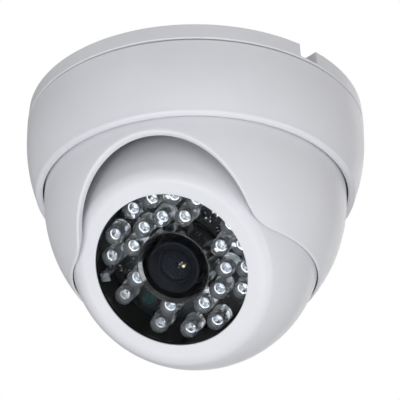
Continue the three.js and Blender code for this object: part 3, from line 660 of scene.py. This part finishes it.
def clear_pane():
    """Clear from both sides. Its back has the inverse index, or light at a low angle,
    which Transparent does not bend, would be held back there as in a thick block."""
    material = bpy.data.materials.new("window_clear")
    material.use_nodes = True
    nodes, links = material.node_tree.nodes, material.node_tree.links
    nodes.remove(nodes["Principled BSDF"])
    through = nodes.new("ShaderNodeBsdfTransparent")
    through.inputs["Color"].default_value = (0.97, 0.98, 0.985, 1)
    mirror = nodes.new("ShaderNodeBsdfGlossy")
    mirror.inputs["Color"].default_value = (1, 1, 1, 1)
    smudges = spread(nodes, links, noise(nodes, links, sourced(nodes, links), 120), 0.02, 0.09)
    links.new(smudges, mirror.inputs["Roughness"])
    fresnel = nodes.new("ShaderNodeFresnel")
    side = nodes.new("ShaderNodeNewGeometry")
    either = nodes.new("ShaderNodeMapRange")
    either.inputs["To Min"].default_value = pane_index
    either.inputs["To Max"].default_value = 1 / pane_index
    links.new(side.outputs["Backfacing"], either.inputs["Value"])
    links.new(either.outputs["Result"], fresnel.inputs["IOR"])
    mix = nodes.new("ShaderNodeMixShader")
    links.new(fresnel.outputs["Fac"], mix.inputs["Fac"])
    links.new(through.outputs["BSDF"], mix.inputs[1])
    links.new(mirror.outputs["BSDF"], mix.inputs[2])
    links.new(mix.outputs["Shader"], nodes["Material Output"].inputs["Surface"])
    return material


window_clear = clear_pane()
pane = spun(outline([
    (0, window_back, 0), (window_radius, window_back, 0.1),
    (window_radius, window_top, 0.1), (0, window_top, 0),
]), 96)
finished("window_pane", pane, window_clear, "ball", ["window"], BALL)


# %% Epoxy that bends light, its surface a little uneven
def epoxy():
    material, nodes, links, shader = new_material("lamp_epoxy")
    vector = sourced(nodes, links)
    shader.inputs["Transmission Weight"].default_value = 0.9
    shader.inputs["IOR"].default_value = 1.5
    tint = spread(nodes, links, noise(nodes, links, vector, 300), 0, 1)
    colour = blended(nodes, links, tint, (0.93, 0.95, 0.98), (0.98, 0.99, 1.0))
    links.new(colour, shader.inputs["Base Color"])
    uneven = noise(nodes, links, vector, 500)
    links.new(spread(nodes, links, uneven, 0.01, 0.05), shader.inputs["Roughness"])
    return material


lamp_epoxy = epoxy()
silver = moulded("silvered_cup", (0.95, 0.95, 0.97), (0.80, 0.81, 0.84), (0.08, 0.2), metallic=1)

# %% [markdown]
# ## The lamps
# Each lamp is a 5 mm infrared lamp: a clear body with a foot ring and a round head, and
# in it two flat leads, one of which ends in a silvered cup round the chip. The body
# stands for a node of the frame, one for each lamp, and takes its place and height from
# it. The leads and cups of all the lamps are one mesh, since nothing tells them apart.

# %% One lamp's body and what is cast in it
numbered = [name for name in frame["nodes"] if name.startswith("lamp_")]
lamp_names = sorted(name for name in numbered if name[5:].isdigit())
lamp_radius, foot_height, cup_depth = 2.5, 1.0, 3.4
well_depth, cup_height = 0.7, 1.2
well_floor, well_mouth, cup_rim, cup_foot = 0.35, 0.72, 0.9, 0.6


def lamp_place(name):
    low, high = extent(name, BALL)
    return (low.x + high.x) / 2, (low.y + high.y) / 2, low.z, high.z, (high.x - low.x) / 2


def lamp_body(name):
    x, y, base, tip, foot = lamp_place(name)
    body = spun(outline([
        (0, base, 0),
        (foot, base, 0.1),
        (foot, base + foot_height, 0.1),
        (lamp_radius, base + foot_height, 0.1),
        *arc(0, tip - lamp_radius, lamp_radius, 0, 90, 12),
    ]), 40)
    return moved(body, x, y)


def lamp_inside(name, turn):
    """The cup on its lead, the other lead, and the chip."""
    x, y, base, tip, _ = lamp_place(name)
    cup_top = tip - cup_depth
    cup = spun(outline([
        (0, cup_top - well_depth, 0), (well_floor, cup_top - well_depth, 0),
        (well_mouth, cup_top, 0), (cup_rim, cup_top, 0),
        (cup_foot, cup_top - cup_height, 0), (0, cup_top - cup_height, 0),
    ]), 24)
    chip = blank((-0.17, -0.17, cup_top - well_depth), (0.17, 0.17, cup_top - 0.5))
    post = blank((-0.5, -0.25, base + 0.2), (0.2, 0.25, cup_top - 1.15))
    other = blank((1.05, -0.25, base + 0.2), (1.4, 0.25, cup_top - 0.4))
    anvil = blank((1.0, -0.3, cup_top - 0.6), (1.5, 0.3, cup_top - 0.3), 0.08)
    shapes = [cup, chip, post, other, anvil]
    return [moved(shape, x, y, 0, turn) for shape in shapes]


# %% Make them all
insides = []
picker = random.Random(7)
for number, name in enumerate(lamp_names, 1):
    finished(
        f"lamp_body_{number:02d}", lamp_body(name), lamp_epoxy, "ball",
        [name], BALL, 40,
    )
    insides += lamp_inside(name, picker.uniform(0, 360))
finished("lamp_cups", gathered(insides), silver, "ball", (), BALL)

# %% [markdown]
# ## The lamp board and its carrier
# The lamps stand on a ring-shaped board with a black solder mask, in a black cup that
# keeps stray light in. Between the lamps the board shows its small parts: resistors
# with tinned ends, and a scatter of solder on the pads. At this size they are only
# specks, but without them the dark between the lamps looks empty.

# %% The carrier cup and the board
carrier_low, carrier_high = extent("lamp_carrier", BALL)
board_low, board_high = extent("lamp_board", BALL)
board_radius = board_high.x
sleeve_low, sleeve_high = extent("lens_sleeve", BALL)
sleeve_radius = sleeve_high.x
board_room, carrier_wall, proud = 0.6, 1.5, 0.05
carrier_inner = board_radius + board_room
carrier_outer = carrier_inner + carrier_wall
board_hole = sleeve_radius + 0.4
board = spun(outline([
    (board_hole, board_low.z, 0.1), (board_radius, board_low.z, 0.1),
    (board_radius, board_high.z, 0.1), (board_hole, board_high.z, 0.1),
]), 128)
finished("lamp_ring_board", board, black_board, "ball", ["lamp_board"], BALL)
wall = spun(outline([
    (carrier_inner, board_low.z - 0.2, 0.1), (carrier_outer - proud, board_low.z - 0.2, 0.1),
    (carrier_outer - proud, carrier_high.z + proud, 0.3), (carrier_inner, carrier_high.z + proud, 0.3),
]), 128)
finished("carrier_wall", wall, black_plastic, "ball", (), BALL)

# %% Resistors and solder on the board
tinned = moulded("tinned", (0.75, 0.75, 0.76), (0.55, 0.56, 0.58), (0.15, 0.3), metallic=1)
lamp_spots = [Vector(lamp_place(name)[:2]) for name in lamp_names]
board_top = board_high.z


def clear_of_lamps(spot, room):
    return all((spot - place).length > room for place in lamp_spots)


def on_circle(radius, angle):
    return Vector((radius * math.cos(math.radians(angle)), radius * math.sin(math.radians(angle))))


def resistor(spot, turn):
    """A chip resistor: its black body, and its two tinned ends."""
    body = blank((-0.6, -0.4, board_top), (0.6, 0.4, board_top + 0.45), 0.05)
    ends = []
    for x in (-0.75, 0.75):
        ends.append(blank((x - 0.2, -0.42, board_top), (x + 0.2, 0.42, board_top + 0.48), 0.05))
    return moved(body, *spot, 0, turn), [moved(end, *spot, 0, turn) for end in ends]


bodies, ends = [], []
free_places = (
    (15.2, 37), (18.9, 40), (12.6, 40), (15.6, 128), (19.0, 118), (18.6, -47), (19.2, 178),
)
for radius, angle in free_places:
    body, tips = resistor(on_circle(radius, angle), angle + 90)
    bodies.append(body)
    ends += tips
finished("board_resistors", gathered(bodies), chip_black, "ball", (), BALL)

solder, solder_count, lamp_room = [], 90, 2.2
solder_ring, solder_size = (11.4, 20.6), (0.14, 0.34)
while len(solder) < solder_count:
    spot = on_circle(picker.uniform(*solder_ring), picker.uniform(0, 360))
    size = picker.uniform(*solder_size)
    if clear_of_lamps(spot, lamp_room):
        bead_shape = bmesh.new()
        bmesh.ops.create_icosphere(bead_shape, subdivisions=1, radius=size)
        bmesh.ops.scale(bead_shape, vec=(1, 1, 0.6), verts=bead_shape.verts)
        solder.append(moved(bead_shape, *spot, board_top))
finished("board_solder", gathered(ends + solder), tinned, "ball", (), BALL, 80)

# %% [markdown]
# ## The window clip
# A small bent tab of cloudy plastic stands at the left edge of the board, just behind
# the window. It is two plates at a right angle, and two blocks with softly rounded
# edges make it. Its finish is frosted and lets about half of the light through, so it
# shows as a grey shape against the dark.

# %% The clip's frosted plastic and its two plates
def frosted(name, light, dark):
    """Cloudy clear plastic: part of the light goes through, blurred."""
    material, nodes, links, shader = new_material(name)
    vector = sourced(nodes, links)
    cloud = spread(nodes, links, noise(nodes, links, vector, 400), 0, 1)
    links.new(blended(nodes, links, cloud, dark, light), shader.inputs["Base Color"])
    frosting = noise(nodes, links, vector, 500)
    links.new(spread(nodes, links, frosting, 0.15, 0.35), shader.inputs["Roughness"])
    shader.inputs["Transmission Weight"].default_value = 0.45
    return material


clip_half, clip_wall, clip_reach, clip_turn = 1.2, 0.6, 2.6, -4.5
clip_top = window_back - 0.5
clip_left = -board_radius
upright = blank((clip_left, -clip_half, board_top), (clip_left + clip_wall, clip_half, clip_top), 0.1)
shelf = blank(
    (clip_left, -clip_half, clip_top - clip_wall),
    (clip_left + clip_reach, clip_half, clip_top), 0.1,
)
clip_plastic = frosted("clip_plastic", (0.26, 0.27, 0.30), (0.16, 0.17, 0.19))
clip_shape = moved(gathered([upright, shelf]), 0, 0, 0, clip_turn)
finished("window_clip", clip_shape, clip_plastic, "ball", (), BALL)

# %% [markdown]
# ## The photocell
# The small round part at the lower left of the lamps is a photocell, which switches
# them on in the dark. Its face sits in a black cup and is dark itself, and a teal
# conducting track winds across it. The track is modelled as raised bars joined end to
# end, because it is a separate layer on the real part too.

# %% Photocell cup, face and track
cell_low, cell_high = extent("photocell", BALL)
cell_x, cell_y = (cell_low.x + cell_high.x) / 2, (cell_low.y + cell_high.y) / 2
cell_radius = (cell_high.x - cell_low.x) / 2
cell_top = cell_high.z
face_radius = cell_radius - 0.9
pocket, face_back, face_front = 0.35, 0.33, 0.2
cell_dark = moulded(
    "photocell_ceramic", (0.002, 0.008, 0.008), (0.001, 0.004, 0.004), (0.3, 0.45), 0.15,
)
track_teal = moulded(
    "photocell_track", (0.014, 0.18, 0.165), (0.007, 0.09, 0.085), (0.25, 0.4), 0.3,
)
cell_cup = spun(outline([
    (0, cell_low.z, 0), (cell_radius, cell_low.z, 0.1), (cell_radius, cell_top, 0.2),
    (face_radius + 0.1, cell_top, 0.1), (face_radius + 0.1, cell_top - pocket, 0.05),
    (0, cell_top - pocket, 0),
]), 48)
finished(
    "photocell_cup", moved(cell_cup, cell_x, cell_y), photocell_black, "ball",
    ["photocell"], BALL,
)
cell_face = spun(outline([
    (0, cell_top - face_back, 0), (face_radius, cell_top - face_back, 0),
    (face_radius, cell_top - face_front, 0.05), (0, cell_top - face_front, 0),
]), 48)
finished(
    "photocell_face", moved(cell_face, cell_x, cell_y), cell_dark, "ball",
    (), BALL,
)
track, bars, pitch, bar = [], 4, 0.72, 0.2
track_foot, track_top = cell_top - 0.22, cell_top - 0.12
for i in range(bars):
    y = (i - (bars - 1) / 2) * pitch
    half = math.sqrt((face_radius - 0.1) ** 2 - y**2)
    track.append(blank((-half, y - bar / 2, track_foot), (half, y + bar / 2, track_top), 0.03))
    if i < bars - 1:
        side = 1 if i % 2 else -1
        reach = min(half, math.sqrt((face_radius - 0.1) ** 2 - (y + pitch) ** 2))
        x = side * (reach - bar / 2)
        track.append(blank((x - bar / 2, y, track_foot), (x + bar / 2, y + pitch, track_top)))
track_shape = moved(gathered(track), cell_x, cell_y, 0, 25)
finished("photocell_winding", track_shape, track_teal, "ball", (), BALL)

# %% [markdown]
# ## Sleeve, barrel and glass
# A black sleeve stands round the lens so that the lamps' light cannot reach it. Inside
# it the barrel's mouth is a ridged cone that leads to the front element. Glass is what
# a lens is seen by, so the front element is a real curved one that bends light. Behind it
# a black stop closes the barrel but for a small hole, with gilded specks on its face.

# %% The sleeve
sleeve_wall, mouth_chamfer = 1.2, 0.95
sleeve_inner = sleeve_radius - sleeve_wall
polished_black = moulded(
    "polished_black", (0.012, 0.012, 0.013), (0.008, 0.008, 0.009), (0.1, 0.16),
)
lacquer_index = 1.8
polished_black.node_tree.nodes["Principled BSDF"].inputs["IOR"].default_value = lacquer_index
sleeve = spun(outline([
    (sleeve_inner, sleeve_low.z, 0.1), (sleeve_radius, sleeve_low.z, 0.1),
    (sleeve_radius, sleeve_high.z, 0.2), (sleeve_inner + mouth_chamfer, sleeve_high.z, 0.1),
    (sleeve_inner, sleeve_high.z - mouth_chamfer, 0.1),
]), 128)
finished("lamp_light_sleeve", sleeve, polished_black, "ball", ["lens_sleeve"], BALL)

# %% The barrel, with a ridged cone behind its rim
barrel_low, barrel_high = extent("lens_barrel", BALL)
barrel_radius = barrel_high.x
lens_front = barrel_high.z
head_length = 6
shoulder_z = lens_front - head_length
thread_radius, glass_radius, mouth_depth, glass_depth = 6.0, 4.6, 1.6, 1.3
ledge_below = lens_front - mouth_depth - glass_depth
stop_radius, pupil_radius, stop_z = 3.6, 0.4, lens_front - 3.6
ridges, ridge_count, first_ridge, ridge_bite, ridge_drop = [], 5, 0.3, 0.18, 0.05
cone_outer, cone_inner = barrel_radius - 0.75, glass_radius + 0.15
for i in range(ridge_count):
    z = lens_front - first_ridge - i * (mouth_depth - first_ridge) / ridge_count
    r = cone_outer - i * (cone_outer - cone_inner) / ridge_count
    ridges += [(r, z, 0), (r - ridge_bite, z - ridge_drop, 0)]
thread, turns, thread_pitch, thread_start, relief = [], 12, 0.5, 0.8, 0.3
for i in range(turns):
    z = shoulder_z - thread_start - i * thread_pitch
    thread += [(thread_radius, z, 0), (thread_radius - thread_pitch / 2, z - thread_pitch / 2, 0)]
barrel = spun(outline([
    (barrel_radius - 0.65, lens_front, 0),
    *ridges,
    (glass_radius + 0.1, lens_front - mouth_depth, 0),
    (glass_radius + 0.1, ledge_below, 0),
    (stop_radius, ledge_below, 0.1),
    (stop_radius, stop_z, 0.1),
    (pupil_radius, stop_z, 0.05),
    (pupil_radius, barrel_low.z, 0.1),
    (thread_radius - relief, barrel_low.z, 0.2),
    *reversed(thread),
    (thread_radius - relief, shoulder_z, 0.1),
    (barrel_radius, shoulder_z, 0.2),
    (barrel_radius, lens_front, 0.3),
]), 128)
finished("lens_housing", barrel, lens_black, "lens", ["lens_barrel"], BALL, 25)


# %% Coated glass
def coated_glass():
    """Glass with a coating that dims its reflection and turns it blue."""
    material, nodes, links, shader = new_material("lens_glass")
    vector = sourced(nodes, links)
    cloud = spread(nodes, links, noise(nodes, links, vector, 200), 0, 1)
    colour = blended(nodes, links, cloud, (0.7905, 0.8075, 0.85), (0.93, 0.95, 1.0))
    links.new(colour, shader.inputs["Base Color"])
    polish = noise(nodes, links, vector, 400)
    links.new(spread(nodes, links, polish, 0.01, 0.03), shader.inputs["Roughness"])
    shader.inputs["IOR"].default_value = 1.55
    shader.inputs["Specular Tint"].default_value = (0.035, 0.045, 0.075, 1)
    shader.inputs["Transmission Weight"].default_value = 1
    return material


# %% The front element, with a flat back and a round front
glass_edge = 0.8
glass_seat = lens_front - mouth_depth - 0.9
front_curve = 2 * glass_radius
curve_start = math.degrees(math.acos(glass_radius / front_curve))
curve_centre = glass_seat + glass_edge - front_curve * math.sin(math.radians(curve_start))
front_element = spun(outline([
    (0, glass_seat, 0),
    (glass_radius, glass_seat, 0.05),
    *arc(0, curve_centre, front_curve, curve_start, 90, 14),
]), 96)
finished(
    "front_element", front_element, coated_glass(), "lens", ["lens_glass"], BALL,
)

# %% Gilded specks on the stop, which glint behind the front element
gilt = moulded("gilt", (1.0, 0.88, 0.62), (0.98, 0.78, 0.46), (0.12, 0.2), metallic=1)
glints, sunk, raised = [], stop_z - 0.05, stop_z + 0.12
specks = (
    (1.1, -1.0, 0.5), (0.45, -0.35, 0.2), (1.1, -0.1, 0.22), (0.1, -0.95, 0.16), (1.75, -0.7, 0.2),
)
for x, y, size in specks:
    glint = spun([(0, sunk), (size, sunk), (0.8 * size, raised), (0, raised)], 20)
    glints.append(moved(glint, x, y))
finished("lens_glints", gathered(glints), gilt, "lens", (), BALL, 80)

# %% [markdown]
# ## Parts that keep the frame's shape
# The pieces inside the ball and under the cover are hidden, and the frame's own solids
# are close enough for them. Each still gets its finish, so that they look right when
# the object is taken apart. The frame's objects are never moved or reshaped: only the
# material in their slots changes.

# %% The sensor board's green mask
def masked_board(name, mask, trace):
    """A printed board: solder mask over fine copper lanes that lift the colour."""
    material, nodes, links, shader = new_material(name)
    vector = sourced(nodes, links)
    lanes = nodes.new("ShaderNodeTexBrick")
    lanes.inputs["Scale"].default_value = 350
    lanes.inputs["Mortar Size"].default_value = 0.03
    lanes.inputs["Color1"].default_value = (*mask, 1)
    lanes.inputs["Color2"].default_value = (*mask, 1)
    lanes.inputs["Mortar"].default_value = (*trace, 1)
    links.new(vector, lanes.inputs["Vector"])
    links.new(lanes.outputs["Color"], shader.inputs["Base Color"])
    mask_gloss = noise(nodes, links, vector, 200)
    links.new(spread(nodes, links, mask_gloss, 0.25, 0.4), shader.inputs["Roughness"])
    return material


green_board = masked_board("green_board", (0.012, 0.10, 0.04), (0.03, 0.17, 0.07))

# %% Give the frame's own solids their finishes
kept = {
    "retainer_ring": acetal,
    "friction_ring": black_rubber,
    "swivel_bush": acetal,
    "window_gasket": black_rubber,
    "lamp_carrier": black_plastic,
    "lens_holder": black_plastic,
    "sensor_board": green_board,
    "image_sensor": chip_black,
    "processor": chip_black,
    "lamp_socket": socket_plastic,
    "board_socket": socket_plastic,
    "output_socket": socket_plastic,
    "lamp_lead": lead_jacket,
}
kept.update({name: screw_steel for name in frame["nodes"] if "_screw_" in name})
for name, material in kept.items():
    mesh = frame["nodes"][name].data
    mesh.materials.clear()
    mesh.materials.append(material)
print(len(kept), "frame solids keep their shape")

# %% [markdown]
# ## Floor, light and camera
# The camera hangs in the air over a plain pale floor, far enough below that a view from
# beneath still clears it. The light is a studio's: the whole surroundings glow softly,
# and a wide panel lights the front from below, as a low softbox does, with a weak one
# straight ahead. Two small panels put the highlights in the lamps, a strip at the right
# draws the bright line on the sleeve's mouth, and panels behind and above show the back
# and the base. The viewpoint is that of someone who looks up at the ceiling, but it is
# seen through a long lens, which keeps the round outlines nearly undistorted.

# %% Floor
floor_z, floor_reach = -1.0, 6
floor_mesh = bmesh.new()
bmesh.ops.create_grid(floor_mesh, x_segments=8, y_segments=8, size=floor_reach)
bmesh.ops.translate(floor_mesh, vec=(0, 0, floor_z), verts=floor_mesh.verts)
ground = bpy.data.meshes.new("floor")
floor_mesh.to_mesh(ground)
floor_mesh.free()
pale = moulded("pale_floor", (0.80, 0.80, 0.80), (0.78, 0.78, 0.78), (0.6, 0.7), 0.5, 400, 1e-5)
ground.materials.append(pale)
floor = bpy.data.objects.new("floor", ground)
bpy.context.scene.collection.objects.link(floor)
print("floor", -floor_z, "m below the ceiling")

# %% Surroundings: white where the camera sees them, softer as light
ambient = 0.36
world = bpy.data.worlds.new("studio")
bpy.context.scene.world = world
world.use_nodes = True
world_nodes, world_links = world.node_tree.nodes, world.node_tree.links
light_path = world_nodes.new("ShaderNodeLightPath")
strength = world_nodes.new("ShaderNodeMapRange")
strength.inputs["To Min"].default_value = ambient
strength.inputs["To Max"].default_value = 1.0
world_links.new(light_path.outputs["Is Camera Ray"], strength.inputs["Value"])
world_nodes["Background"].inputs["Color"].default_value = (1, 1, 1, 1)
world_links.new(strength.outputs["Result"], world_nodes["Background"].inputs["Strength"])
bpy.context.scene.view_settings.view_transform = "Standard"
print("surroundings light at", ambient)


# %% Panels of light
reference = Vector((0, 0, -0.04))


def panel(name, place, size, power, colour=(1, 1, 1), length=None, roll=0):
    """A soft light that faces the object: square, or a strip turned by a roll in degrees."""
    light = bpy.data.lights.new(name, "AREA")
    light.shape = "RECTANGLE"
    light.size = size
    light.size_y = length or size
    light.energy = power
    light.color = colour
    lamp = bpy.data.objects.new(name, light)
    lamp.location = place
    aim = (reference - Vector(place)).to_track_quat("-Z", "Y").to_matrix()
    lamp.rotation_euler = (aim @ Matrix.Rotation(math.radians(roll), 3, "Z")).to_euler()
    lamp.visible_camera = False
    bpy.context.scene.collection.objects.link(lamp)
    return lamp


panel("under", (-0.25, -0.45, -0.82), 1.2, 6.0, (0.93, 0.965, 1.0))
panel("front", (0.0, -1.3, -0.15), 1.0, 0.9, (1.0, 0.99, 0.99))
panel("spark_left", (-0.5, -0.7, -0.75), 0.12, 1.2)
panel("spark_right", (0.3, -0.95, -0.42), 0.1, 0.8)
panel("side_strip", (0.71, -0.34, -0.51), 0.12, 1.6, length=0.7, roll=54)
panel("back", (0.35, 0.9, 0.55), 1.0, 2.5)
panel("above", (0.2, 0.1, 1.2), 1.0, 3.0)
print(len(bpy.data.lights), "panels of light")

# %% The camera, on a tripod below and in front
distance, rise, focal_length = 0.7, 29.605, 230.7
aim_above, aim_aside = 0.931, -0.116
view = bpy.data.cameras.new("view")
view.lens = focal_length
view.sensor_width = 36
view.clip_start = 0.01
viewer = bpy.data.objects.new("view", view)
down = math.radians(rise)
viewer.location = reference + distance * Vector((0, -math.cos(down), -math.sin(down)))
viewer.rotation_euler = (math.radians(90 + rise + aim_above), 0, math.radians(aim_aside))
bpy.context.scene.collection.objects.link(viewer)
bpy.context.scene.camera = viewer
print("camera", distance, "m away,", round(rise), "degrees below")
